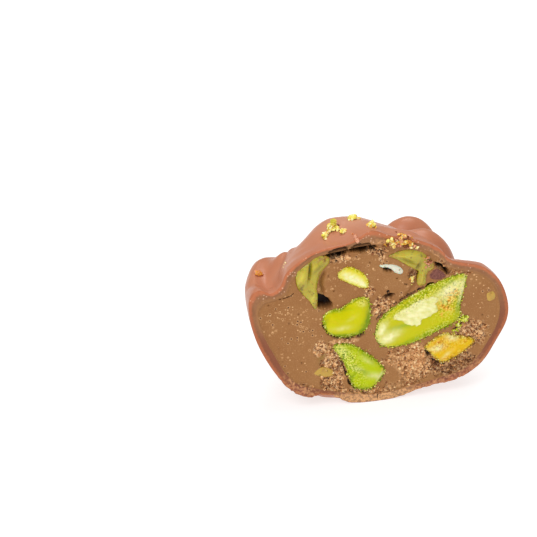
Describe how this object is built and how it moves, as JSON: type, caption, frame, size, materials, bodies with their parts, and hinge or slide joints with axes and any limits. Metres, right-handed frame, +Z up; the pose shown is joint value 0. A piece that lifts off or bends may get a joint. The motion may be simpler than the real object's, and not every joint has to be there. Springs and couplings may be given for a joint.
{
  "type": "cut chocolate truffle",
  "caption": "Half of a chocolate truffle with a rumpled coating, soft filling and pistachio kernels on the cut face.",
  "frame": {"origin": "middle of the bounding box in plan, at the flat foot", "axes": "+X along the cut to the right, +Y from the cut face into the body, +Z up"},
  "size_m": [0.039, 0.0192, 0.0285],
  "materials": {
    "milk_chocolate": "milk chocolate, satin outside",
    "chocolate_filling": "soft chocolate filling, matte and crumbly where broken",
    "pistachio_kernel": "green nut kernel, slightly moist",
    "pistachio_golden": "golden yellow nut kernel",
    "pistachio_cream": "olive green nut cream, soft and slightly shiny",
    "nut_pale": "pale nut sliver"
  },
  "bodies": {
    "root": {"coating": "milk_chocolate", "filling": "chocolate_filling", "kernel_large": "pistachio_kernel", "kernel_bean": "pistachio_kernel", "kernel_low": "pistachio_kernel", "kernel_yellow": "pistachio_golden", "kernel_gold": "pistachio_golden", "cream_left": "pistachio_cream", "cream_right": "pistachio_cream", "white_sliver": "nut_pale", "bit_right": "pistachio_golden", "bit_low": "pistachio_golden"}
  },
  "joints": []
}
